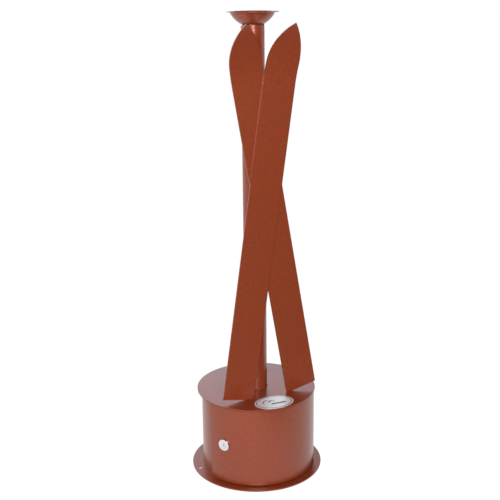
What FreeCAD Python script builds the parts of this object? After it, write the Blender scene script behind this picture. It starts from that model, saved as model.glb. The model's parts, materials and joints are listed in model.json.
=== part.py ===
import FreeCAD, Part
import os
import Sketcher

doc = FreeCAD.newDocument("standing_ashtray")
V = FreeCAD.Vector
X_AXIS, Y_AXIS, Z_AXIS = V(1, 0, 0), V(0, 1, 0), V(0, 0, 1)

# ---------------------------------------------------------------- driving sizes (mm and degrees)
sizes = doc.addObject("Spreadsheet::Sheet", "Sizes")
line = 0


def size(alias, value, note):
    """Write one driving or derived size on the sheet and give it its name."""
    global line
    line += 1
    sizes.set("A%d" % line, note)
    sizes.set("B%d" % line, str(value))
    sizes.setAlias("B%d" % line, alias)


# base, fixed wall and lid
size("plate", 3, "thickness of the base and lid plates")
size("anchor_radius", 4.5, "anchor hole radius, for an M8 anchor")
size("drum_height", 182.5, "height of the fixed wall, between base and lid")
size("wall", 1.5, "sheet thickness of the drum, the door and the bowl")
size("back_radius", 125, "outer radius of the fixed wall")
size("door_offset", 6.7, "gap between the fixed wall and the door")
size("door_radius", "=back_radius+door_offset+wall", "outer radius of the door")
size("lid_overhang", 1.8, "overhang of the lid past the door")
size("lid_radius", "=door_radius+lid_overhang", "radius of the lid plate")
size("flange_width", 16.8, "width of floor flange outside the door")
size("base_radius", "=door_radius+flange_width", "radius of the floor flange")
size("anchor_edge", 12, "distance of an anchor hole from the flange's edge")
size("anchor_reach", "=base_radius-anchor_edge", "distance of an anchor hole from the axis")
size("anchor_turn", -4.8, "turn of the pair of anchor holes about the axis")

# where the door starts and ends, as angles about the axis
size("door_start", -162.8, "angle of the door's free edge")
size("hinge_angle", 10, "angle of the hinge pins")
size("lock_step", 17.4, "angle between the door's free edge and the cam lock")
size("lock_angle", "=door_start+lock_step", "angle of the cam lock")
size("stop_step", 4.3, "angle between the door's free edge and the stops")
size("stop_start", "=door_start+stop_step", "angle of the door stops")
size("stop_span", 3.5, "angle a door stop covers")
size("wall_step", 1, "angle of fixed wall past the stops")
size("hinge_step", 8, "angle of fixed wall before the hinge pins")
size("back_start", "=hinge_angle-hinge_step", "angle where the fixed wall starts, beside the hinges")
size("back_span", "=360+stop_start+stop_span+wall_step-back_start", "angle the fixed wall covers")
size("door_gap_low", 3, "gap under the door")
size("door_gap_high", 1.5, "gap over the door")
size("door_edge_gap", 3.5, "angle left between the door's sheet and the hinge pins")
size("door_span", "=hinge_angle-door_edge_gap-door_start", "angle the door covers")
size("lid_top", "=plate+drum_height+plate", "height of the lid's top face")

# post
size("post_radius", 25, "outer radius of the post tube")
size("post_wall", 2, "wall of the post tube")
size("post_spout", 10, "length of post below the lid")
size("post_bead", 1.8, "leg of the weld round the foot of the post")

# bowl, neck and stub grate
size("rim_height", 1025.5, "height of the bowl's rim")
size("rim_radius", 55, "outer radius of the bowl's rim")
size("rim_roll", 1, "radius of the rolled edge of the rim")
size("flare_height", 6, "height of the flared lip")
size("flare_wall", "=1.5*wall", "thickness of the flared lip, measured level")
size("bowl_radius", 52.5, "outer radius of the round of the bowl")
size("bowl_lift", 20.5, "height of the round's centre over the rim")
size("neck_play", 1, "gap between the neck and the post")
size("neck_radius", "=post_radius-post_wall-neck_play", "radius of the neck under the bowl")
size("shadow_gap", 3.5, "gap between the post's end and the bowl")
size("post_top", "=rim_height+bowl_lift-sqrt(bowl_radius^2-post_radius^2)-shadow_gap",
     "height of the post's upper end")
size("flare_step", 1.3, "step of the flare over the round of the bowl")
size("flare_foot", "=sqrt(bowl_radius^2-(bowl_lift+rim_roll+flare_height)^2)+flare_step",
     "radius of the flare's foot")
size("neck_depth", 22, "length of neck inside the post")
size("tack_width", 5, "width of a tack under the bowl")
size("tack_rise", 10, "height of the block that such a tack is trimmed from")
size("tack_start", 238, "angle of the first tack under the bowl")
size("grate_depth", 18, "depth of the stub grate's underside below the rim")
size("grate_plate", 2, "thickness of the stub grate")
size("grate_play", 0.15, "radial play of the grate in the bowl")
size("grate_drop", 12, "radius of the drop hole in the grate")
size("grate_radius", "=sqrt((bowl_radius-wall)^2-(grate_depth+bowl_lift)^2)-grate_play",
     "radius of the stub grate")
size("grate_ring", "=(grate_radius+grate_drop)/2", "radius of the ring of small holes")
size("grate_hole", 3.5, "radius of a small hole")

# skis, stand-offs and welds
size("ski_half", 36.7, "half the width of a ski")
size("ski_plate", 3, "thickness of a ski")
size("ski_shoulder", 255, "height over the crossing where the tip begins to narrow")
size("ski_above", 337, "height of the tip over the crossing")
size("ski_bend_from", 212, "height over the crossing where the tip starts to curl")
size("ski_curl", 200, "radius of the curled tip, on its front face")
size("ski_tilt", 9.22, "tilt of each ski in their common plane")
size("ski_lean", 1.94, "lean of the skis towards the post")
size("ski_foot", 64.5, "distance of the front ski's face from the post axis at the lid")
size("ski_side", 8.2, "sideways place of the crossing")
size("cross_drop", 356, "depth of the crossing below the rim")
size("ski_cross", "=rim_height-lid_top-cross_drop", "height of the crossing over the lid, along the skis")
size("rear_slant", 5.8, "rise of the rear ski's foot towards its outer corner")
size("standoff_radius", 8, "radius of a stand-off between post and skis")
size("standoff_pitch", 190, "distance between the stand-offs")
size("seat_sink", 2.6, "depth the ski's inner corner is trimmed by at the lid")
size("ski_below", "=(ski_cross+seat_sink-ski_half*sin(ski_tilt*1deg))/cos(ski_tilt*1deg)",
     "length of ski below the crossing")
size("standoff_low", 51, "distance of the lower stand-off below the crossing")
size("seat_bead", 3, "height of the weld behind a ski's seat")
size("seat_length", 14, "length of that weld")

# oval plate on the lid
size("badge_long", 45, "half the length of the oval plate")
size("badge_short", 31, "half the width of the oval plate")
size("badge_edge", 2, "distance of the oval plate from the lid's edge")
size("badge_reach", "=lid_radius-badge_short-badge_edge",
     "distance of the oval plate's centre from the axis")
size("badge_plate", 1, "thickness of the oval plate")

# welds between the fixed wall and the base
size("shell_tack_start", 191, "angle of the first tack under the fixed wall")
size("shell_tack_pitch", -34, "angle between those tacks")
size("shell_tack_span", 3.5, "angle one tack covers")
size("shell_tack_leg", 2.5, "leg of those tacks")

# hinges and door stops
size("pin_radius", 3, "radius of a hinge pin")
size("pin_play", 0.06, "radial play of the door's barrels on the pins")
size("barrel_radius", 6, "radius of a hinge barrel")
size("barrel_play", 0.4, "gap between the barrels and the fixed wall")
size("pin_reach", "=back_radius+barrel_radius+barrel_play", "distance of the hinge pins from the axis")
size("barrel_height", 24, "height of one barrel")
size("barrel_gap", 0.4, "gap between the two barrels of a hinge")
size("hinge_end", 18, "distance of a hinge from the door's end")
size("hinge_low", "=plate+door_gap_low+hinge_end", "height of the lower hinge")
size("hinge_pitch", "=drum_height-door_gap_low-door_gap_high-2*hinge_end-2*barrel_height-barrel_gap",
     "distance between the hinges")
size("leaf", 2, "thickness of a hinge leaf")
size("leaf_span", 13, "angle a hinge leaf covers")
size("stop_play", 0.3, "gap between the stops and the closed door")
size("stop_height", 20, "height of a door stop")
size("stop_end", 17, "distance of a door stop from the wall's end")
size("stop_low", "=plate+stop_end", "height of the lower door stop")
size("stop_pitch", "=drum_height-2*stop_end-stop_height", "distance between the door stops")

# cam lock
size("lock_lift", 1.8, "height of the cam lock over the middle of the wall")
size("lock_height", "=plate+drum_height/2+lock_lift", "height of the cam lock")
size("lock_face", 13, "radius of the lock's face")
size("lock_head", 3, "thickness of the lock's head")
size("lock_body", 9.5, "radius of the lock's body")
size("lock_flat", 8, "half the width across the flats of the lock's body")
size("lock_dish", 42, "radius of the dish in the lock's face")
size("dish_depth", 1.5, "depth of that dish")
size("nut_half", 12, "half the width across flats of the lock's nut")
size("nut_height", 4, "height of the lock's nut")
size("plug_radius", 5, "radius of the lock's plug")
size("plug_play", 0.06, "radial play of the plug in the lock's body")
size("plug_lip", 0.4, "height of the plug over the bottom of the dish")
size("key_width", 1.6, "width of the key slot")
size("key_height", 6, "height of the key slot")
size("key_depth", 8, "depth of the key slot")
size("tongue_plate", 2, "thickness of the tongue")
size("tongue_half", 7, "half the width of the tongue")
size("tongue_reach", 30, "reach of the tongue")
size("tongue_gap", 0.3, "gap between the tongue and the body")
size("tongue_clear", 0.8, "clearance of the tongue behind the fixed wall")
size("lock_inside", "=sqrt((back_radius-wall)^2-tongue_reach^2)-tongue_clear",
     "distance of the body's inner end from the axis")
size("screw_radius", 4.5, "radius of the tongue screw's head")
size("screw_head", 2.5, "height of the tongue screw's head")

# ash pail and its handle
size("pail_room", 23.5, "gap between the ash pail and the fixed wall")
size("pail_radius", "=back_radius-wall-pail_room", "outer radius of the ash pail")
size("pail_gap", 22.5, "gap between the ash pail and the foot of the post")
size("pail_height", "=drum_height-post_spout-pail_gap", "height of the ash pail")
size("pail_wall", 1.2, "sheet thickness of the ash pail")
size("pail_roll", 2.5, "radius of the pail's rolled rim")
size("pail_turn", -73, "angle of the pail's handle, in the middle of the doorway")
size("wire", 2, "radius of the handle's wire")
size("ear_play", 0.06, "radial play of the handle in its ears")
size("grip_stand", 4.8, "gap between the pail and the handle's pivots")
size("grip_reach", "=pail_radius+grip_stand", "distance of the handle's pivots from the axis")
size("grip_below", 31, "depth of the handle's pivots below the pail's rim")
size("grip_height", "=plate+pail_height-grip_below", "height of the handle's pivots")
size("grip_half", 25, "half the width of the handle")
size("grip_drop", 19, "length of the handle's legs")
size("ear_plate", 4, "thickness of an ear")
size("ear_half", 5, "half the height of an ear")
size("ear_gap", 0.4, "gap between an ear and the handle's leg")

# shapes that only cut
size("overrun", 60, "overrun of the cutting shapes")

# ---------------------------------------------------------------- building helpers
nodes = []


def keep(obj, label):
    """Name a finished piece and put it on the list of pieces."""
    obj.Label = label
    nodes.append(obj)
    return obj


def bind(obj, **properties):
    for name, expression in properties.items():
        obj.setExpression(name, expression)
    return obj


def place(obj, x=None, y=None, z=None, turn=None, axis=Z_AXIS):
    """Place a piece by expressions; turn is its rotation about the given axis."""
    if turn is not None:
        obj.Placement = FreeCAD.Placement(V(), FreeCAD.Rotation(axis, 1))
        obj.setExpression("Placement.Rotation.Angle", turn)
    for letter, expression in (("x", x), ("y", y), ("z", z)):
        if expression is not None:
            obj.setExpression("Placement.Base." + letter, expression)
    return obj


def cylinder(name, radius, height, **where):
    return place(bind(doc.addObject("Part::Cylinder", name), Radius=radius, Height=height), **where)


def box(name, length, width, height, **where):
    obj = bind(doc.addObject("Part::Box", name), Length=length, Width=width, Height=height)
    return place(obj, **where)


def sphere(name, radius, **where):
    return place(bind(doc.addObject("Part::Sphere", name), Radius=radius), **where)


def cut(name, base, tool, **where):
    obj = doc.addObject("Part::Cut", name)
    obj.Base, obj.Tool = base, tool
    return place(obj, **where)


def fuse(name, *shapes, **where):
    obj = doc.addObject("Part::MultiFuse", name)
    obj.Shapes = list(shapes)
    return place(obj, **where)


def common(name, *shapes, **where):
    obj = doc.addObject("Part::MultiCommon", name)
    obj.Shapes = list(shapes)
    return place(obj, **where)


def ring(name, outer, inner, height, z, span=None, **where):
    """A round wall, whole or over an angle that starts at +X; where places the whole ring."""
    body = cylinder(name + "_solid", outer, height, z=z)
    if span is not None:
        bind(body, Angle=span)
    bore = cylinder(name + "_bore", inner, "(%s) + 2 * Sizes.overrun" % height, z="(%s) - Sizes.overrun" % z)
    return cut(name, body, bore, **where)


# ---------------------------------------------------------------- base, drum wall and lid
flange = cylinder("flange", "Sizes.base_radius", "Sizes.plate")
anchors = [
    cylinder("anchor_%d" % i, "Sizes.anchor_radius", "2 * Sizes.overrun", x="%d * Sizes.anchor_reach" % side,
             z="-Sizes.overrun")
    for i, side in enumerate((-1, 1))
]
keep(cut("base_plate", flange, fuse("anchors", *anchors, turn="Sizes.anchor_turn")), "base_plate")

keep(ring("drum_back", "Sizes.back_radius", "Sizes.back_radius - Sizes.wall", "Sizes.drum_height",
          "Sizes.plate", span="Sizes.back_span", turn="Sizes.back_start"), "drum_back")

SHELL_TACKS = 6
for i in range(SHELL_TACKS):
    tack = doc.addObject("Part::Cone", "shell_tack_cone_%d" % i)
    bind(tack, Radius1="Sizes.back_radius + Sizes.shell_tack_leg", Radius2="Sizes.back_radius",
         Height="Sizes.shell_tack_leg", Angle="Sizes.shell_tack_span")
    bore = cylinder("shell_tack_bore_%d" % i, "Sizes.back_radius", "Sizes.overrun")
    keep(cut("shell_tack_%d" % (i + 1), tack, bore, z="Sizes.plate",
             turn="Sizes.shell_tack_start + %d * Sizes.shell_tack_pitch" % i), "shell_tack_%d" % (i + 1))

lid = cylinder("lid_disc", "Sizes.lid_radius", "Sizes.plate", z="Sizes.lid_top - Sizes.plate")
lid_hole = cylinder("lid_hole", "Sizes.post_radius", "2 * Sizes.overrun", z="Sizes.lid_top - Sizes.overrun")
keep(cut("lid_plate", lid, lid_hole), "lid_plate")

oval = doc.addObject("Part::Ellipse", "oval")
bind(oval, MajorRadius="Sizes.badge_long", MinorRadius="Sizes.badge_short")
badge = doc.addObject("Part::Extrusion", "badge")
badge.Base, badge.DirMode, badge.Dir, badge.Solid = oval, "Custom", Z_AXIS, True
bind(badge, LengthFwd="Sizes.badge_plate")
keep(place(badge, y="-Sizes.badge_reach", z="Sizes.lid_top"), "badge_plate")

# ---------------------------------------------------------------- post and its weld
post_foot = "Sizes.lid_top - Sizes.plate - Sizes.post_spout"
keep(ring("post_tube", "Sizes.post_radius", "Sizes.post_radius - Sizes.post_wall",
          "Sizes.post_top - (%s)" % post_foot, post_foot), "post_tube")
bead = doc.addObject("Part::Cone", "post_bead")
bind(bead, Radius1="Sizes.post_radius + Sizes.post_bead", Radius2="Sizes.post_radius",
     Height="Sizes.post_bead")
bead_bore = cylinder("post_bead_bore", "Sizes.post_radius", "Sizes.overrun")
keep(cut("post_weld", bead, bead_bore, z="Sizes.lid_top"), "post_weld")

# ---------------------------------------------------------------- bowl, neck, tacks and stub grate
bowl_centre = "Sizes.rim_height + Sizes.bowl_lift"
flare_low = "Sizes.rim_height - Sizes.rim_roll - Sizes.flare_height"
round_out = sphere("bowl_round", "Sizes.bowl_radius", z=bowl_centre)
round_in = sphere("bowl_hollow", "Sizes.bowl_radius - Sizes.wall", z=bowl_centre)
round_keep = ring("bowl_keep", "Sizes.rim_radius", "Sizes.neck_radius - Sizes.wall",
                  "Sizes.overrun", flare_low + " - Sizes.overrun")
bowl_shell = common("bowl_shell", cut("bowl_skin", round_out, round_in), round_keep)
flare_out = doc.addObject("Part::Cone", "flare_out")
bind(flare_out, Radius1="Sizes.flare_foot", Radius2="Sizes.rim_radius", Height="Sizes.flare_height")
flare_in = doc.addObject("Part::Cone", "flare_in")
bind(flare_in, Radius1="Sizes.flare_foot - Sizes.flare_wall", Radius2="Sizes.rim_radius - Sizes.flare_wall",
     Height="Sizes.flare_height")
flare = cut("flare", place(flare_out, z=flare_low), place(flare_in, z=flare_low))
roll = doc.addObject("Part::Torus", "rim_roll")
bind(roll, Radius1="Sizes.rim_radius - Sizes.rim_roll", Radius2="Sizes.rim_roll")
keep(fuse("ash_bowl", bowl_shell, flare, place(roll, z="Sizes.rim_height - Sizes.rim_roll")), "ash_bowl")

neck = ring("neck", "Sizes.neck_radius", "Sizes.neck_radius - Sizes.wall",
            "Sizes.neck_depth + Sizes.overrun / 2", "Sizes.post_top - Sizes.neck_depth")
keep(cut("bowl_neck", neck, sphere("neck_trim", "Sizes.bowl_radius", z=bowl_centre)), "bowl_neck")

BOWL_TACKS = 3
for i in range(BOWL_TACKS):
    block = box("bowl_tack_block_%d" % i, "Sizes.post_radius - Sizes.neck_radius", "Sizes.tack_width",
                "Sizes.tack_rise", x="Sizes.neck_radius", y="-Sizes.tack_width / 2", z="Sizes.post_top")
    outside = cut("bowl_tack_round_%d" % i, block,
                  cylinder("bowl_tack_in_%d" % i, "Sizes.neck_radius", "2 * Sizes.overrun",
                           z="Sizes.post_top - Sizes.overrun"))
    trimmed = cut("bowl_tack_%d" % (i + 1), outside,
                  sphere("bowl_tack_trim_%d" % i, "Sizes.bowl_radius", z=bowl_centre),
                  turn="Sizes.tack_start + %d * 360 / %d" % (i, BOWL_TACKS))
    keep(trimmed, "bowl_tack_%d" % (i + 1))

grate_low = "Sizes.rim_height - Sizes.grate_depth"
grate_disc = cylinder("grate_disc", "Sizes.grate_radius", "Sizes.grate_plate", z=grate_low)
hole_low = grate_low + " - Sizes.overrun"
grate_holes = [cylinder("grate_drop", "Sizes.grate_drop", "2 * Sizes.overrun", z=hole_low)]
SMALL_HOLES = 8
for i in range(SMALL_HOLES):
    bearing = "%d * 360 deg / %d" % (i, SMALL_HOLES)
    grate_holes.append(cylinder("grate_hole_%d" % i, "Sizes.grate_hole", "2 * Sizes.overrun",
                                x="Sizes.grate_ring * cos(%s)" % bearing,
                                y="Sizes.grate_ring * sin(%s)" % bearing, z=hole_low))
keep(cut("stub_grate", grate_disc, fuse("grate_holes", *grate_holes)), "stub_grate")

# ---------------------------------------------------------------- crossed skis and their stand-offs
START, END, ORIGIN, UPRIGHT = 1, 2, -1, -2


def ski_outline(name, slant=None):
    """The flat outline of a ski: straight sides, a foot that is level or rises to the right, a pointed tip.

    The first numbers only draw it roughly; the constraints give it its real size.
    """
    half, low, shoulder, tip, bulge = 30, -400, 200, 300, 20
    middle = (shoulder + tip) / 2
    sketch = doc.addObject("Sketcher::SketchObject", name)
    sketch.Placement = FreeCAD.Placement(V(), FreeCAD.Rotation(X_AXIS, 90))
    corners = [V(-half, low), V(half, low), V(half, shoulder), V(-half, shoulder)]
    foot = sketch.addGeometry(Part.LineSegment(corners[0], corners[1]))
    right = sketch.addGeometry(Part.LineSegment(corners[1], corners[2]))
    left = sketch.addGeometry(Part.LineSegment(corners[3], corners[0]))
    arc_right = sketch.addGeometry(Part.Arc(corners[2], V(bulge, middle), V(0, tip)))
    arc_left = sketch.addGeometry(Part.Arc(V(0, tip), V(-bulge, middle), corners[3]))
    level = [("Horizontal", foot)] if slant is None else []
    for rule in level + [
        ("Coincident", foot, END, right, START), ("Coincident", left, END, foot, START),
        ("Vertical", right), ("Vertical", left),
        ("Tangent", right, END, arc_right, START), ("Tangent", arc_left, END, left, START),
        ("Coincident", arc_right, END, arc_left, START), ("PointOnObject", arc_right, END, UPRIGHT),
        ("Symmetric", left, START, right, END, UPRIGHT),
    ]:
        sketch.addConstraint(Sketcher.Constraint(*rule))
    drivers = [
        ("width", ("DistanceX", foot, START, foot, END), "2 * Sizes.ski_half"),
        ("below", ("DistanceY", foot, START, ORIGIN, START), "Sizes.ski_below"),
        ("shoulder", ("DistanceY", ORIGIN, START, right, END), "Sizes.ski_shoulder"),
        ("above", ("DistanceY", ORIGIN, START, arc_right, END), "Sizes.ski_above"),
    ]
    if slant is not None:
        drivers.append(("slant", ("DistanceY", foot, START, foot, END), slant))
    for key, rule, value in drivers:
        place_of = sketch.addConstraint(Sketcher.Constraint(*(rule + (100.0,))))
        sketch.renameConstraint(place_of, key)
        sketch.setExpression("Constraints." + key, value)
    return sketch


lid_plane = dict(y="-Sizes.ski_foot", z="Sizes.lid_top")


def ski(name, side, layer, slant=None):
    """One ski: its outline cut from a strip whose upper end curls forwards, then tilted and leant."""
    outline = doc.addObject("Part::Extrusion", name + "_blade")
    outline.Base = ski_outline(name + "_outline", slant)
    outline.DirMode, outline.Dir, outline.Solid = "Custom", Y_AXIS, True
    bind(outline, LengthFwd="2 * Sizes.overrun", LengthRev="4 * Sizes.overrun")
    flat = box(name + "_flat", "2 * Sizes.overrun", "Sizes.ski_plate",
               "Sizes.ski_below + Sizes.ski_bend_from", x="-Sizes.overrun", z="-Sizes.ski_below")
    bend = dict(x="-Sizes.overrun", y="-Sizes.ski_curl", z="Sizes.ski_bend_from")
    roll_out = cylinder(name + "_roll_out", "Sizes.ski_curl + Sizes.ski_plate", "2 * Sizes.overrun",
                        turn="90", axis=Y_AXIS, **bend)
    roll_in = cylinder(name + "_roll_in", "Sizes.ski_curl", "2 * Sizes.overrun",
                       turn="90", axis=Y_AXIS, **bend)
    quarter = box(name + "_quarter", "2 * Sizes.overrun", "Sizes.ski_curl + Sizes.ski_plate",
                  "Sizes.ski_curl + Sizes.ski_plate", **bend)
    curl = common(name + "_curl", cut(name + "_rolled", roll_out, roll_in), quarter)
    strip = fuse(name + "_strip", flat, curl)
    blade = common(name + "_tilted", strip, outline, x="Sizes.ski_side", y="%d * Sizes.ski_plate" % layer,
                   z="Sizes.ski_cross", turn="%d * Sizes.ski_tilt" % side, axis=Y_AXIS)
    along = "Sizes.overrun * cos(Sizes.ski_lean * 1 deg)"
    across = "Sizes.overrun * sin(Sizes.ski_lean * 1 deg)"
    under = box(name + "_under", "8 * Sizes.overrun", "2 * Sizes.overrun", "Sizes.overrun",
                x="-4 * Sizes.overrun", y="-%s + %s" % (along, across), z="-%s - %s" % (along, across),
                turn="Sizes.ski_lean", axis=X_AXIS)
    return cut(name, blade, under, turn="-Sizes.ski_lean", axis=X_AXIS, **lid_plane)


front_ski = keep(ski("front_ski", 1, 0), "front_ski")
rear_ski = keep(ski("rear_ski", -1, 1, "Sizes.rear_slant"), "rear_ski")

foot_shift = ("(Sizes.ski_cross * tan(Sizes.ski_tilt * 1 deg)"
              " - Sizes.ski_half / cos(Sizes.ski_tilt * 1 deg) + Sizes.seat_length / 2)")
for name, owner, side, layer in (("front_ski_weld", front_ski, -1, 0), ("rear_ski_weld", rear_ski, 1, 1)):
    run = box(name + "_run", "Sizes.seat_length", "Sizes.ski_plate / 2 + Sizes.seat_bead", "Sizes.seat_bead",
              x="Sizes.ski_side + %d * %s - Sizes.seat_length / 2" % (side, foot_shift),
              y="-Sizes.ski_foot + %s * Sizes.ski_plate" % (layer + 0.5), z="Sizes.lid_top")
    keep(cut(name, run, owner), name)

rear_face = "(2 * Sizes.ski_plate - 4 * Sizes.overrun)"
in_front = box("ski_side_space", "8 * Sizes.overrun", "4 * Sizes.overrun", "16 * Sizes.overrun",
               x="-4 * Sizes.overrun", y="-Sizes.ski_foot + %s * cos(Sizes.ski_lean * 1 deg)" % rear_face,
               z="Sizes.lid_top - %s * sin(Sizes.ski_lean * 1 deg)" % rear_face,
               turn="-Sizes.ski_lean", axis=X_AXIS)
core = cylinder("post_core", "Sizes.post_radius", "Sizes.post_top")
for i, name in enumerate(("standoff_lower", "standoff_upper")):
    rod = cylinder(name + "_rod", "Sizes.standoff_radius", "Sizes.ski_foot", turn="90", axis=X_AXIS,
                   z="Sizes.lid_top + Sizes.ski_cross - Sizes.standoff_low + %d * Sizes.standoff_pitch" % i)
    trimmed = cut(name + "_trimmed", rod, core)
    keep(cut(name, trimmed, in_front), name)

# ---------------------------------------------------------------- door, hinges and stops
def lock_flats(name):
    """The space between the two flats that keep the lock's body from turning in the door."""
    return box(name, "Sizes.overrun", "2 * Sizes.lock_flat", "2 * Sizes.lock_body",
               x="Sizes.door_radius - Sizes.overrun / 2", y="-Sizes.lock_flat",
               z="Sizes.lock_height - Sizes.lock_body")


door_low = "Sizes.plate + Sizes.door_gap_low"
door_sheet = ring("door_sheet", "Sizes.door_radius", "Sizes.door_radius - Sizes.wall",
                  "Sizes.drum_height - Sizes.door_gap_low - Sizes.door_gap_high", door_low,
                  span="Sizes.door_span", turn="Sizes.door_start")
window_round = cylinder("door_lock_round", "Sizes.lock_body", "Sizes.overrun",
                        x="Sizes.door_radius - Sizes.overrun / 2", z="Sizes.lock_height",
                        turn="90", axis=Y_AXIS)
window = common("door_lock_window", window_round, lock_flats("door_lock_flats"), turn="Sizes.lock_angle")
keep(cut("door_shell", door_sheet, window), "door_shell")

for i, where in enumerate(("lower", "upper")):
    low = "(Sizes.hinge_low + %d * Sizes.hinge_pitch)" % i
    high = low + " + Sizes.barrel_height + Sizes.barrel_gap"
    keep(cylinder("hinge_pin_" + where, "Sizes.pin_radius", "2 * Sizes.barrel_height + Sizes.barrel_gap",
                  x="Sizes.pin_reach * cos(Sizes.hinge_angle * 1 deg)",
                  y="Sizes.pin_reach * sin(Sizes.hinge_angle * 1 deg)", z=low), "hinge_pin_" + where)
    for kind, z, inner, start, play in (
        ("post", low, "Sizes.back_radius", "0", "0"),
        ("door", high, "Sizes.door_radius - Sizes.wall - Sizes.leaf", "-Sizes.leaf_span", "Sizes.pin_play"),
    ):
        name = "hinge_%s_%s" % (kind, where)
        leaf = ring(name + "_leaf", inner + " + Sizes.leaf", inner, "Sizes.barrel_height", z,
                    span="Sizes.leaf_span", turn=start)
        barrel = cylinder(name + "_barrel", "Sizes.barrel_radius", "Sizes.barrel_height",
                          x="Sizes.pin_reach", z=z)
        bore = cylinder(name + "_bore", "Sizes.pin_radius + " + play, "2 * Sizes.overrun",
                        x="Sizes.pin_reach", z=z + " - Sizes.overrun")
        keep(cut(name, fuse(name + "_joined", leaf, barrel), bore, turn="Sizes.hinge_angle"), name)

for i, name in enumerate(("door_stop_lower", "door_stop_upper")):
    keep(ring(name, "Sizes.door_radius - Sizes.wall - Sizes.stop_play", "Sizes.back_radius",
              "Sizes.stop_height", "Sizes.stop_low + %d * Sizes.stop_pitch" % i,
              span="Sizes.stop_span", turn="Sizes.stop_start"), name)


# ---------------------------------------------------------------- cam lock
def along_lock(name, radius, start, end):
    """A cylinder on the lock's axis, between two distances from the drum's axis."""
    return cylinder(name, radius, "(%s) - (%s)" % (end, start), x=start, z="Sizes.lock_height",
                    turn="90", axis=Y_AXIS)


face = "Sizes.door_radius + Sizes.lock_head"
dish_floor = face + " - Sizes.dish_depth"
head = along_lock("lock_head", "Sizes.lock_face", "Sizes.door_radius", face)
barrel = common("lock_barrel", along_lock("lock_round", "Sizes.lock_body", "Sizes.lock_inside", face),
                lock_flats("lock_barrel_flats"))
dish = sphere("lock_dish", "Sizes.lock_dish", x=dish_floor + " + Sizes.lock_dish", z="Sizes.lock_height")
plug_bore = along_lock("lock_plug_bore", "Sizes.plug_radius + Sizes.plug_play", "0", "2 * Sizes.door_radius")
keep(cut("lock_housing", fuse("lock_solid", head, barrel), fuse("lock_tools", dish, plug_bore),
         turn="Sizes.lock_angle"), "lock_housing")

nut_face = "sqrt((Sizes.door_radius - Sizes.wall)^2 - Sizes.nut_half^2)"
nut = doc.addObject("Part::Prism", "nut")
nut.Polygon = 6
bind(nut, Circumradius="Sizes.nut_half / cos(30 deg)", Height="Sizes.nut_height")
place(nut, x=nut_face + " - Sizes.nut_height", z="Sizes.lock_height", turn="90", axis=Y_AXIS)
keep(cut("lock_nut", nut, along_lock("nut_bore", "Sizes.lock_body", "0", "2 * Sizes.door_radius"),
         turn="Sizes.lock_angle"), "lock_nut")

tongue_out = "Sizes.lock_inside - Sizes.tongue_gap"
plug = along_lock("plug", "Sizes.plug_radius", tongue_out, dish_floor + " + Sizes.plug_lip")
key = box("key_slot", "Sizes.overrun", "Sizes.key_width", "Sizes.key_height",
          x=dish_floor + " + Sizes.plug_lip - Sizes.key_depth", y="-Sizes.key_width / 2",
          z="Sizes.lock_height - Sizes.key_height / 2")
keep(cut("lock_plug", plug, key, turn="Sizes.lock_angle"), "lock_plug")

round_end = along_lock("tongue_root", "Sizes.tongue_half", tongue_out + " - Sizes.tongue_plate", tongue_out)
blade = box("tongue_blade", "Sizes.tongue_plate", "2 * Sizes.tongue_half", "Sizes.tongue_reach",
            x=tongue_out + " - Sizes.tongue_plate", y="-Sizes.tongue_half", z="Sizes.lock_height")
keep(fuse("lock_tongue", round_end, blade, turn="Sizes.lock_angle"), "lock_tongue")
screw = along_lock("screw", "Sizes.screw_radius", tongue_out + " - Sizes.tongue_plate - Sizes.screw_head",
                   tongue_out + " - Sizes.tongue_plate")
socket = doc.addObject("Part::Prism", "screw_socket")
socket.Polygon = 6
bind(socket, Circumradius="Sizes.screw_radius / 2", Height="Sizes.screw_head / 2")
place(socket, x=tongue_out + " - Sizes.tongue_plate - Sizes.screw_head", z="Sizes.lock_height", turn="90",
      axis=Y_AXIS)
keep(cut("tongue_screw", screw, socket, turn="Sizes.lock_angle"), "tongue_screw")

# ---------------------------------------------------------------- ash pail and its drop handle
pail_top = "Sizes.plate + Sizes.pail_height"
pail_wall = ring("pail_wall", "Sizes.pail_radius", "Sizes.pail_radius - Sizes.pail_wall",
                 "Sizes.pail_height", "Sizes.plate")
pail_floor = cylinder("pail_floor", "Sizes.pail_radius", "Sizes.pail_wall", z="Sizes.plate")
pail_roll = doc.addObject("Part::Torus", "pail_roll")
bind(pail_roll, Radius1="Sizes.pail_radius - Sizes.pail_wall / 2", Radius2="Sizes.pail_roll")
keep(fuse("ash_pail", pail_wall, pail_floor, place(pail_roll, z=pail_top)), "ash_pail")

ear_near = "(Sizes.grip_half + Sizes.wire + Sizes.ear_gap)"
ear_root = "Sizes.pail_radius - Sizes.overrun / 4"
for name, side in (("pail_ear_left", -1), ("pail_ear_right", 1)):
    low_y = ear_near if side > 0 else "-(%s + Sizes.ear_plate)" % ear_near
    block = box(name + "_block", "Sizes.grip_reach + 2 * Sizes.wire - (%s)" % ear_root,
                "Sizes.ear_plate", "2 * Sizes.ear_half", x=ear_root, y=low_y,
                z="Sizes.grip_height - Sizes.ear_half")
    ear_bore = cylinder(name + "_bore", "Sizes.wire + Sizes.ear_play", "2 * Sizes.overrun",
                        x="Sizes.grip_reach", y="Sizes.overrun", z="Sizes.grip_height",
                        turn="90", axis=X_AXIS)
    pail_side = cylinder(name + "_pail", "Sizes.pail_radius", "4 * Sizes.overrun")
    keep(cut(name, block, fuse(name + "_tools", ear_bore, pail_side), turn="Sizes.pail_turn"), name)

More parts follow.
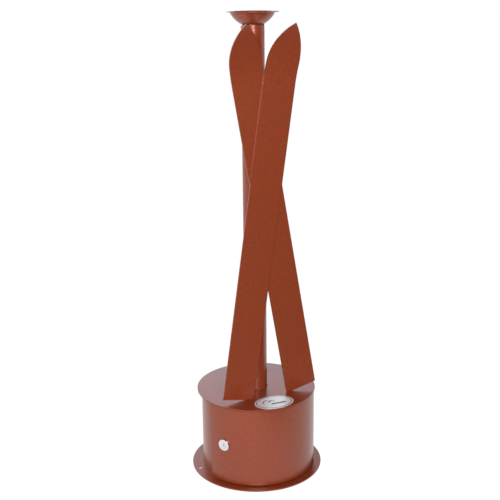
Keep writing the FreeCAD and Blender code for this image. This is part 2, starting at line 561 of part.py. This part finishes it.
grip = []
for side in (-1, 1):
    tag = "left" if side < 0 else "right"
    grip.append(cylinder("grip_leg_" + tag, "Sizes.wire", "Sizes.grip_drop", x="Sizes.grip_reach",
                         y="%d * Sizes.grip_half" % side, z="Sizes.grip_height - Sizes.grip_drop"))
    for level, drop in (("top", "0"), ("low", "Sizes.grip_drop")):
        grip.append(sphere("grip_knee_%s_%s" % (level, tag), "Sizes.wire", x="Sizes.grip_reach",
                           y="%d * Sizes.grip_half" % side, z="Sizes.grip_height - " + drop))
    far = "Sizes.wire + Sizes.ear_gap + Sizes.ear_plate"
    y_from = "-Sizes.grip_half" if side < 0 else "Sizes.grip_half + " + far
    grip.append(cylinder("grip_pivot_" + tag, "Sizes.wire", far, x="Sizes.grip_reach", y=y_from,
                         z="Sizes.grip_height", turn="90", axis=X_AXIS))
grip.append(cylinder("grip_bar", "Sizes.wire", "2 * Sizes.grip_half", x="Sizes.grip_reach",
                     y="Sizes.grip_half", z="Sizes.grip_height - Sizes.grip_drop", turn="90", axis=X_AXIS))
keep(fuse("pail_handle", *grip, turn="Sizes.pail_turn"), "pail_handle")

# ---------------------------------------------------------------- checks and export
doc.recompute()
os.makedirs("parts", exist_ok=True)
for obj in doc.Objects:
    if "Invalid" in obj.State or "Error" in obj.State or not obj.isValid():
        raise RuntimeError("feature failed: %s %s" % (obj.Name, obj.State))
for obj in nodes:
    shape = obj.Shape
    if shape.isNull() or not shape.isValid() or shape.Volume <= 0 or len(shape.Solids) != 1:
        raise RuntimeError("bad piece: %s, %d solids" % (obj.Label, len(shape.Solids)))
if len({obj.Label for obj in nodes}) != len(nodes):
    raise RuntimeError("two pieces share a name")
for obj in nodes:
    obj.Shape.exportStep("parts/%s.step" % obj.Label)
    extent = obj.Shape.BoundBox
    corners = (extent.XMin, extent.XMax, extent.YMin, extent.YMax, extent.ZMin, extent.ZMax)
    print("%-18s volume %10.1f" % (obj.Label, obj.Shape.Volume), *("%8.2f" % value for value in corners))
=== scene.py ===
import json
import math

import bmesh
import bpy
from mathutils import Matrix, Vector


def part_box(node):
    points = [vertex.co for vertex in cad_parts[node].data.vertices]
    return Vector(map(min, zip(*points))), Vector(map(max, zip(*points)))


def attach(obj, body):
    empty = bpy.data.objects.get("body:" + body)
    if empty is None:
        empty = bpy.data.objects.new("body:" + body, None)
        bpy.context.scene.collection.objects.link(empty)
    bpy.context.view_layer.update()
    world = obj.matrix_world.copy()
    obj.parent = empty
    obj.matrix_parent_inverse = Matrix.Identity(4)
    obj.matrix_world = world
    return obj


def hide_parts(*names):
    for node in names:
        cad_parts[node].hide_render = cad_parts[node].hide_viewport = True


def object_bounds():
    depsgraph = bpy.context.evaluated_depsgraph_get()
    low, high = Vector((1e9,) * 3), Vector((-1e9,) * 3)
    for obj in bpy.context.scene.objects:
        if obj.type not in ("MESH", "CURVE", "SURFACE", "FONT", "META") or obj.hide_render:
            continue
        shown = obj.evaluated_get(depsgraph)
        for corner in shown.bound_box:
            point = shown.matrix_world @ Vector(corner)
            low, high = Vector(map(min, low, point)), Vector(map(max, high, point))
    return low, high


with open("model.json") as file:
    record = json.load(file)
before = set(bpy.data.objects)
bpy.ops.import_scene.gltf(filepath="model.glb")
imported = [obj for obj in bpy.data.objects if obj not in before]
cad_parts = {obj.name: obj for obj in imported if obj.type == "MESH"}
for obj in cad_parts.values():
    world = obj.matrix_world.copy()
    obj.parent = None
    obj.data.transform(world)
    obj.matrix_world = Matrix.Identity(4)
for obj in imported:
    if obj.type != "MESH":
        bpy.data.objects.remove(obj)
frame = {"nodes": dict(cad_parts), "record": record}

cad_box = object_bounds()
nodes = frame["nodes"]
MM = 0.001


# ---------------------------------------------------------------- node helpers
class Shader:
    """A small writer for node materials."""

    def __init__(self, name):
        self.mat = bpy.data.materials.new(name)
        self.mat.use_nodes = True
        self.tree = self.mat.node_tree
        self.tree.nodes.clear()
        self.out = self.add("ShaderNodeOutputMaterial")
        self.bsdf = self.add("ShaderNodeBsdfPrincipled")
        self.link(self.bsdf.outputs[0], self.out.inputs[0])
        self.coord = self.add("ShaderNodeTexCoord").outputs["Object"]

    def add(self, kind, **settings):
        node = self.tree.nodes.new(kind)
        for key, value in settings.items():
            setattr(node, key, value)
        return node

    def link(self, a, b):
        self.tree.links.new(a, b)

    def put(self, node, **values):
        """Set sockets by name, where a socket value is linked and a number is written."""
        for key, value in values.items():
            socket = node.inputs[key.replace("_", " ")]
            if isinstance(value, bpy.types.NodeSocket):
                self.link(value, socket)
            else:
                socket.default_value = value
        return node

    def noise(self, scale, detail=2.0, rough=0.5, squeeze=None):
        vec = self.coord
        if squeeze is not None:
            mapping = self.add("ShaderNodeMapping")
            self.link(vec, mapping.inputs["Vector"])
            mapping.inputs["Scale"].default_value = squeeze
            vec = mapping.outputs[0]
        node = self.put(self.add("ShaderNodeTexNoise"),
                        Vector=vec, Scale=scale, Detail=detail, Roughness=rough)
        return node.outputs[0]

    def ramp(self, value, *stops):
        node = self.add("ShaderNodeValToRGB")
        self.link(value, node.inputs[0])
        marks = node.color_ramp.elements
        while len(marks) < len(stops):
            marks.new(0.5)
        for mark, (place, color) in zip(marks, stops):
            mark.position = place
            mark.color = (*color, 1)
        return node.outputs[0]

    def span(self, value, low, high, start=0.0, end=1.0):
        node = self.add("ShaderNodeMapRange")
        self.link(value, node.inputs["Value"])
        for key, number in (("From Min", start), ("From Max", end), ("To Min", low), ("To Max", high)):
            node.inputs[key].default_value = number
        return node.outputs[0]

    def mix(self, factor, a, b):
        node = self.add("ShaderNodeMix", data_type="RGBA")
        for index, value in ((0, factor), (6, a), (7, b)):
            if isinstance(value, bpy.types.NodeSocket):
                self.link(value, node.inputs[index])
            else:
                node.inputs[index].default_value = value if isinstance(value, float) else (*value, 1)
        return node.outputs[2]

    def bump(self, height, strength, distance, radius):
        """Relief over edges that are rounded to a radius."""
        node = self.put(self.add("ShaderNodeBump"), Height=height, Strength=strength, Distance=distance)
        edge = self.put(self.add("ShaderNodeBevel", samples=6), Radius=radius)
        self.link(edge.outputs[0], node.inputs["Normal"])
        self.link(node.outputs[0], self.bsdf.inputs["Normal"])


# grain sizes of the coat, as noise scales per metre, and its share of metal flake
GRAIN, SPECK, CLOUD, ORANGE_PEEL = 280, 600, 11, 700
FLAKE = 0.25
# radii that edges are shaded with, the reach of the painted shade in recesses, and the colour of both dirt
# spots and that painted shade
COAT_EDGE, METAL_EDGE = 1.2 * MM, 0.4 * MM
RECESS_SHADE_REACH = 3 * MM
GRIME_AND_SHADE = (0.03, 0.027, 0.025)


def coat(name, dark, base, glow, rough=0.42):
    """Copper-brown powder coat under a clear layer: fine dark and orange grains over a soft mottle."""
    s = Shader(name)
    grain = s.noise(GRAIN, 2.0, 0.6)
    speck = s.noise(SPECK, 1.0, 0.4)
    cloud = s.noise(CLOUD, 2.0)
    tone = s.ramp(grain, (0.34, dark), (0.50, base), (0.68, glow))
    fine = s.ramp(speck, (0.40, dark), (0.52, base), (0.66, glow))
    color = s.mix(0.45, tone, fine)
    color = s.mix(s.span(cloud, 0.0, 0.10, 0.3, 0.7), color, dark)
    s.put(s.bsdf, Base_Color=color, Metallic=FLAKE,
          Roughness=s.span(grain, rough + 0.06, rough - 0.06, 0.3, 0.7),
          Specular_IOR_Level=0.0, Coat_Weight=1.0, Coat_Roughness=0.29, Coat_IOR=1.5)
    s.bump(s.noise(ORANGE_PEEL, 2.0), 0.06, 0.0003, COAT_EDGE)
    return s.mat


def metal(name, color, rough, scratch=(1, 1, 1), dirt=0.0, metallic=1.0):
    """Bare or plated metal with drawn lines, a little dirt, and painted shade that darkens its recesses."""
    s = Shader(name)
    lines = s.noise(60, 6.0, 0.7, scratch)
    spots = s.noise(140, 3.0)
    shade = s.mix(s.span(lines, 0.0, 0.35, 0.3, 0.7), color, tuple(c * 0.78 for c in color))
    if dirt:
        shade = s.mix(s.span(spots, 0.0, dirt, 0.45, 0.75), shade, GRIME_AND_SHADE)
    # painted shade: ambient occlusion darkens recesses, such as the lock's key slot and dish, toward the dark
    # colour
    recess_shade = s.put(s.add("ShaderNodeAmbientOcclusion", samples=8), Distance=RECESS_SHADE_REACH)
    shade = s.mix(s.span(recess_shade.outputs["AO"], 1.0, 0.0, 0.3, 0.85), shade, GRIME_AND_SHADE)
    s.put(s.bsdf, Base_Color=shade, Metallic=metallic,
          Roughness=s.span(lines, rough * 0.8, rough * 1.3, 0.3, 0.7))
    s.bump(lines, 0.12, 0.0002, METAL_EDGE)
    return s.mat


def spangle(name, color, rough):
    """Galvanised sheet: zinc crystals as large flat patches of slightly different tone and gloss."""
    s = Shader(name)
    cells = s.put(s.add("ShaderNodeTexVoronoi"), Vector=s.coord, Scale=120.0)
    grain = s.noise(900, 2.0)
    patch = s.add("ShaderNodeSeparateColor")
    s.link(cells.outputs["Color"], patch.inputs[0])
    shade = s.mix(s.span(patch.outputs[0], 0.0, 0.55), color, tuple(c * 0.62 for c in color))
    shade = s.mix(s.span(grain, 0.0, 0.25, 0.3, 0.7), shade, tuple(c * 0.8 for c in color))
    s.put(s.bsdf, Base_Color=shade, Metallic=1.0,
          Roughness=s.span(patch.outputs[1], rough - 0.1, rough + 0.12))
    s.bump(grain, 0.08, 0.0002, 0.0005)
    return s.mat


paint = coat("powder_coat", (0.185, 0.044, 0.017), (0.268, 0.043, 0.0135), (0.37, 0.052, 0.0125))
# a darker coat for the inside of the bowl, below the lip
inside_coat = coat("darker_inside_coat", (0.020, 0.015, 0.012), (0.085, 0.024, 0.012), (0.21, 0.040, 0.014), rough=0.6)
silver = metal("badge_silver", (0.93, 0.93, 0.92), 0.46, (1, 12, 1), metallic=0.45)
ink = metal("badge_groove", (0.05, 0.05, 0.055), 0.45)
chrome = metal("lock_chrome", (0.74, 0.735, 0.73), 0.17)
zinc = metal("zinc_plate", (0.62, 0.63, 0.65), 0.32, (1, 1, 9), 0.15)
tin = spangle("galvanised_sheet", (0.55, 0.57, 0.59), 0.40)
steel = metal("grate_steel", (0.45, 0.44, 0.42), 0.36, (10, 1, 1), 0.5)
by_slot = {"paint": paint, "badge": silver, "chrome": chrome, "zinc": zinc, "galvanised": tin, "grate": steel}

CAD_SHARP = 32
for part in frame["record"]["subparts"]:
    obj = nodes[part["node"]]
    obj.data.materials.clear()
    obj.data.materials.append(by_slot[part["material_slot"]])
    obj.data.shade_smooth()
    obj.data.set_sharp_from_angle(angle=math.radians(CAD_SHARP))


# ---------------------------------------------------------------- pieces made here
def add_mesh(name, bm, material, smooth=40):
    """A new piece on the stand, smooth up to an angle in degrees."""
    mesh = bpy.data.meshes.new(name)
    bmesh.ops.recalc_face_normals(bm, faces=bm.faces)
    bm.to_mesh(mesh)
    bm.free()
    mesh.materials.append(material)
    mesh.shade_smooth()
    mesh.set_sharp_from_angle(angle=math.radians(smooth))
    obj = bpy.data.objects.new(name, mesh)
    bpy.context.scene.collection.objects.link(obj)
    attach(obj, "stand")
    return obj


def weld(node, frames, leg, pitch, closed=False, steps=8):
    """A rippled fillet bead along a corner.

    Each frame is a corner point, the level way out from it and the length so far.
    """
    bm = bmesh.new()
    rings = []
    last = frames[-1][2]
    for corner, out, run in frames:
        taper = 1.0 if closed else min(1.0, 0.55 + 2.0 * min(run, last - run) / leg / 3)
        ring = [bm.verts.new(corner)]
        for i in range(steps + 1):
            t = math.pi / 2 * i / steps
            wave = abs(math.sin(math.pi * (run / pitch + 0.45 * math.sin(2 * t))))
            reach = leg * taper * (0.84 + 0.16 * wave) * (1 - 0.17 * math.sin(2 * t))
            rise = Vector((0, 0, reach * math.sin(t)))
            ring.append(bm.verts.new(corner + out * reach * math.cos(t) + rise))
        rings.append(ring)
    pairs = list(zip(rings, rings[1:])) + ([(rings[-1], rings[0])] if closed else [])
    for a, b in pairs:
        for i in range(len(a)):
            j = (i + 1) % len(a)
            bm.faces.new((a[i], a[j], b[j], b[i]))
    if not closed:
        bm.faces.new(rings[0])
        bm.faces.new(rings[-1][::-1])
    bead = add_mesh(node + "_bead", bm, paint)
    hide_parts(node)


def arc_frames(radius, level, start, end, step):
    """Corner frames round the axis, from one angle to another."""
    count = max(8, round(abs(end - start) * radius / step))
    for i in range(count + 1):
        a = start + (end - start) * i / count
        out = Vector((math.cos(a), math.sin(a), 0))
        yield out * radius + Vector((0, 0, level)), out, abs(a - start) * radius


RIPPLE = 1.9 * MM
STEP = RIPPLE / 6
low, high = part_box("post_weld")
post_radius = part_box("post_tube")[1].x
girth = 2 * math.pi * post_radius
ring = list(arc_frames(post_radius, low.z, 0, 2 * math.pi, STEP))[:-1]
weld("post_weld", ring, high.x - post_radius, girth / round(girth / RIPPLE), True)

shell_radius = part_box("drum_back")[1].y
for node in sorted(n for n in nodes if n.startswith("shell_tack_")):
    low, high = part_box(node)
    middle = (low + high) / 2
    facing = math.atan2(middle.y, middle.x)
    turns = [(math.atan2(v.co.y, v.co.x) - facing + math.pi) % (2 * math.pi) - math.pi
             for v in nodes[node].data.vertices]
    weld(node, list(arc_frames(shell_radius, low.z, facing + min(turns), facing + max(turns), STEP)),
         high.z - low.z, RIPPLE)

for node in ("front_ski_weld", "rear_ski_weld"):
    low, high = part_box(node)
    length = high.x - low.x
    count = round(6 * length / RIPPLE)
    line = [(Vector((low.x + length * i / count, low.y, low.z)), Vector((0, 1, 0)), length * i / count)
            for i in range(count + 1)]
    weld(node, line, high.z - low.z, RIPPLE)


def turned(name, profile, material, segments=160):
    """A closed body of revolution about the object's axis, from (radius, height) points."""
    bm = bmesh.new()
    rings = []
    for i in range(segments):
        a = 2 * math.pi * i / segments
        rings.append([bm.verts.new((r * math.cos(a), r * math.sin(a), z)) for r, z in profile])
    for i in range(segments):
        here, ahead = rings[i], rings[(i + 1) % segments]
        for j in range(len(profile)):
            k = (j + 1) % len(profile)
            bm.faces.new((here[j], ahead[j], ahead[k], here[k]))
    return add_mesh(name, bm, material, 50)


# the bowl: a pressed round that sweeps out into a thin lip with a rolled edge
WALL, ROLL, LIP_HEIGHT = 1.5 * MM, 1.0 * MM, 3.6 * MM
ROUND_RADIUS, ROUND_LIFT = 52.5 * MM, 20.5 * MM
LIP_STEPS, ROUND_STEPS, ROLL_STEPS = 14, 40, 12
low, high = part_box("ash_bowl")
rim_radius, rim_height = high.x, high.z
round_centre = rim_height + ROUND_LIFT
foot_angle = math.acos((round_centre - low.z) / ROUND_RADIUS)
lip_foot = math.acos((round_centre - rim_height + LIP_HEIGHT) / ROUND_RADIUS)


def round_point(angle, radius):
    """A point of the round, by its angle from straight down."""
    return radius * math.sin(angle), round_centre - radius * math.cos(angle)


def round_arc(start, end, radius):
    """Points along the round, from one angle to another."""
    return [round_point(start + (end - start) * i / ROUND_STEPS, radius) for i in range(ROUND_STEPS + 1)]


def lip(start, end, pull):
    """The sweep from the round out to the rim: steep at the foot, level at the rim."""
    for i in range(1, LIP_STEPS + 1):
        t = i / LIP_STEPS
        u = 1 - t
        yield (u * u * start[0] + 2 * u * t * pull[0] + t * t * end[0],
               u * u * start[1] + 2 * u * t * pull[1] + t * t * end[1])


outer = round_arc(foot_angle, lip_foot, ROUND_RADIUS)
start = outer[-1]
under = rim_height - 2 * ROLL
reach = (under - start[1]) / math.tan(lip_foot)
outer += lip(start, (rim_radius - ROLL, under), (start[0] + reach, under))
edge = [(rim_radius - ROLL + ROLL * math.cos(a), rim_height - ROLL + ROLL * math.sin(a))
        for a in (math.pi * ((i + 1) / ROLL_STEPS - 0.5) for i in range(ROLL_STEPS - 1))]
inner_top = rim_height - 0.2 * ROLL
inner_lip = list(lip(round_point(lip_foot, ROUND_RADIUS - WALL), (rim_radius - 2.2 * ROLL, inner_top),
                     (start[0] + reach - WALL, inner_top)))
inner_lip = [(rim_radius - ROLL, rim_height)] + inner_lip[::-1]
inner = round_arc(lip_foot, foot_angle, ROUND_RADIUS - WALL)
bowl = turned("bowl_turned", outer + edge + inner_lip + inner, paint)
bowl.data.materials.append(inside_coat)
# faces inside the round, below the lip, take the darker coat
for face in bowl.data.polygons:
    spot = face.center
    inside = (spot - Vector((0, 0, round_centre))).length < ROUND_RADIUS - WALL / 2
    face.material_index = int(inside and spot.z < rim_height - LIP_HEIGHT)
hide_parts("ash_bowl")


LINE_HEIGHT = 0.08 * MM


def plate_line(name, outline_of, half_width, count=96, closed=True):
    """A thin dark line on the oval plate, along a curve given as a function of 0..1."""
    bm = bmesh.new()
    rows = []
    for i in range(count if closed else count + 1):
        here, ahead = outline_of(i / count), outline_of((i + 0.01) / count)
        way = (ahead - here).normalized()
        side = Vector((-way.y, way.x, 0)) * half_width
        rows.append([bm.verts.new(here + side * k + Vector((0, 0, z)))
                     for k, z in ((-1, 0), (-1, LINE_HEIGHT), (1, LINE_HEIGHT), (1, 0))])
    pairs = list(zip(rows, rows[1:])) + ([(rows[-1], rows[0])] if closed else [])
    for a, b in pairs:
        for i in range(4):
            bm.faces.new((a[i], a[(i + 1) % 4], b[(i + 1) % 4], b[i]))
    if not closed:
        bm.faces.new(rows[0])
        bm.faces.new(rows[-1][::-1])
    return add_mesh(name, bm, ink)


low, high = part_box("badge_plate")
middle = (low + high) / 2
half = (high - low) / 2


def oval(share):
    """A point function round the plate at a share of its size."""
    return lambda t: Vector((middle.x + share * half.x * math.cos(2 * math.pi * t),
                             middle.y + share * half.y * math.sin(2 * math.pi * t), high.z))


def stroke(start, end, bow=0.0):
    """A point function along a straight or slightly bowed stroke, in shares of the plate's half size."""
    def at(t):
        x = start[0] + (end[0] - start[0]) * t
        y = start[1] + (end[1] - start[1]) * t + bow * math.sin(math.pi * t)
        return Vector((middle.x + x * half.x, middle.y + y * half.y, high.z))
    return at


plate_line("badge_border", oval(0.90), 0.65 * MM)
plate_line("badge_bar", stroke((-0.20, -0.22), (0.56, -0.22)), 2.4 * MM, 24, False)
plate_line("badge_hill_left", stroke((-0.56, 0.10), (-0.14, 0.10), 0.34), 1.0 * MM, 24, False)
plate_line("badge_hill_right", stroke((-0.24, 0.10), (0.06, 0.10), 0.22), 1.0 * MM, 24, False)


# ---------------------------------------------------------------- stage
scene = bpy.context.scene
scene.view_settings.view_transform = "Standard"
WHITE = (1, 1, 1, 1)


def matte(name, grey, glow):
    """A plain matte material that glows white."""
    s = Shader(name)
    s.put(s.bsdf, Base_Color=(grey, grey, grey, 1), Roughness=0.9, Specular_IOR_Level=0.0,
          Emission_Color=WHITE, Emission_Strength=glow)
    return s.mat


def surround(name, bm, material, unseen_by):
    """An object that is no part of the ashtray, and the kinds of ray that don't meet it."""
    mesh = bpy.data.meshes.new(name)
    bm.to_mesh(mesh)
    bm.free()
    mesh.materials.append(material)
    obj = bpy.data.objects.new(name, mesh)
    scene.collection.objects.link(obj)
    for kind in unseen_by:
        setattr(obj, "visible_" + kind, False)
    return obj


FLOOR_SIZE, DOME_RADIUS = 30, 44
FLOOR_GREY, FLOOR_GLOW, BOUNCE_GLOW = 0.12, 0.98, 0.24

# the pale floor, and a dimmer one just under it that gives the soft light from below
bm = bmesh.new()
bmesh.ops.create_grid(bm, x_segments=1, y_segments=1, size=FLOOR_SIZE)
floor = surround("floor", bm, matte("floor_pale", FLOOR_GREY, FLOOR_GLOW), ["diffuse"])
bm = bmesh.new()
bmesh.ops.create_grid(bm, x_segments=1, y_segments=1, size=FLOOR_SIZE)
bounce = surround("bounce", bm, matte("bounce_dim", 0.0, BOUNCE_GLOW), ["camera", "glossy", "shadow"])
bounce.location.z = -2 * MM

# a dark flag on the floor in front of the ashtray, which widens outwards
FLAG_START, FLAG_REACH, FLAG_NEAR, FLAG_FAR, FLAG_LIFT = 0.5, 24.0, 0.8, 26.0, 2 * MM
flag_way = math.radians(16)
toward = Vector((math.sin(flag_way), -math.cos(flag_way), 0))
across = Vector((-toward.y, toward.x, 0))
bm = bmesh.new()
bm.faces.new([bm.verts.new(toward * u + across * v + Vector((0, 0, FLAG_LIFT))) for u, v in (
    (FLAG_START, -FLAG_NEAR), (FLAG_REACH, -FLAG_FAR), (FLAG_REACH, FLAG_FAR), (FLAG_START, FLAG_NEAR))])
flag_dark = Shader("flag_dark")
flag_dark.put(flag_dark.bsdf, Base_Color=(0.06, 0.06, 0.06, 1), Roughness=0.9)
flag = surround("flag", bm, flag_dark.mat, ["camera", "shadow"])

# a white surround that only the camera sees
bm = bmesh.new()
bmesh.ops.create_uvsphere(bm, u_segments=32, v_segments=16, radius=DOME_RADIUS)
backdrop = Shader("backdrop_white")
backdrop.put(backdrop.bsdf, Base_Color=(0, 0, 0, 1), Emission_Color=WHITE, Emission_Strength=1.0)
dome = surround("backdrop", bm, backdrop.mat, ["diffuse", "glossy", "transmission", "shadow"])


# ---------------------------------------------------------------- light
def studio(dim, bright, from_low, to_high, color):
    """World light that is bright low down behind the ashtray and dark in front of it."""
    world = bpy.data.worlds.new("studio")
    scene.world = world
    world.use_nodes = True
    tree = world.node_tree
    tree.nodes.clear()
    way = tree.nodes.new("ShaderNodeTexCoord")
    facing = tree.nodes.new("ShaderNodeVectorMath")
    facing.operation = "DOT_PRODUCT"
    facing.inputs[1].default_value = -toward * 0.8 - Vector((0, 0, 0.6))
    ramp = tree.nodes.new("ShaderNodeMapRange")
    for key, number in (("From Min", from_low), ("From Max", to_high), ("To Min", dim), ("To Max", bright)):
        ramp.inputs[key].default_value = number
    light = tree.nodes.new("ShaderNodeBackground")
    light.inputs["Color"].default_value = color
    out = tree.nodes.new("ShaderNodeOutputWorld")
    tree.links.new(way.outputs["Generated"], facing.inputs[0])
    tree.links.new(facing.outputs["Value"], ramp.inputs["Value"])
    tree.links.new(ramp.outputs[0], light.inputs["Strength"])
    tree.links.new(light.outputs[0], out.inputs[0])


def softbox(name, at, target, size, power):
    """A rectangular area light, in metres and watts."""
    light = bpy.data.lights.new(name, "AREA")
    light.shape = "RECTANGLE"
    light.size, light.size_y = size
    light.energy = power
    obj = bpy.data.objects.new(name, light)
    obj.location = at
    obj.rotation_euler = (Vector(target) - Vector(at)).to_track_quat("-Z", "Y").to_euler()
    scene.collection.objects.link(obj)


studio(0.03, 2.6, 0.12, 0.46, (0.93, 0.98, 1.08, 1))
key_way, key_distance, key_height = math.radians(-22), 2.6, 1.42
key_at = (math.sin(key_way) * key_distance, -math.cos(key_way) * key_distance, key_height)
softbox("key", key_at, (0, 0, 0.8), (1.3, 1.5), 99)
softbox("side", (2.4, -0.6, 1.2), (cad_box[0] + cad_box[1]) / 2, (0.8, 1.8), 3)

# ---------------------------------------------------------------- camera
# where it stands, in degrees and metres, and how it is turned
azimuth, distance, height = math.radians(-22.8), 2.0071, 1.0795
pitch, yaw, roll = math.radians(90 - 15.771), math.radians(-0.30), math.radians(-0.65)
cam_data = bpy.data.cameras.new("camera")
cam_data.sensor_width, cam_data.lens = 36, 67.87
camera = bpy.data.objects.new("camera", cam_data)
scene.collection.objects.link(camera)
camera.location = (math.sin(azimuth) * distance, -math.cos(azimuth) * distance, height)
camera.rotation_mode = "XYZ"
turn = (Matrix.Rotation(azimuth - yaw, 3, "Z") @ Matrix.Rotation(pitch, 3, "X")
        @ Matrix.Rotation(roll, 3, "Z"))
camera.rotation_euler = turn.to_euler("XYZ")
scene.camera = camera
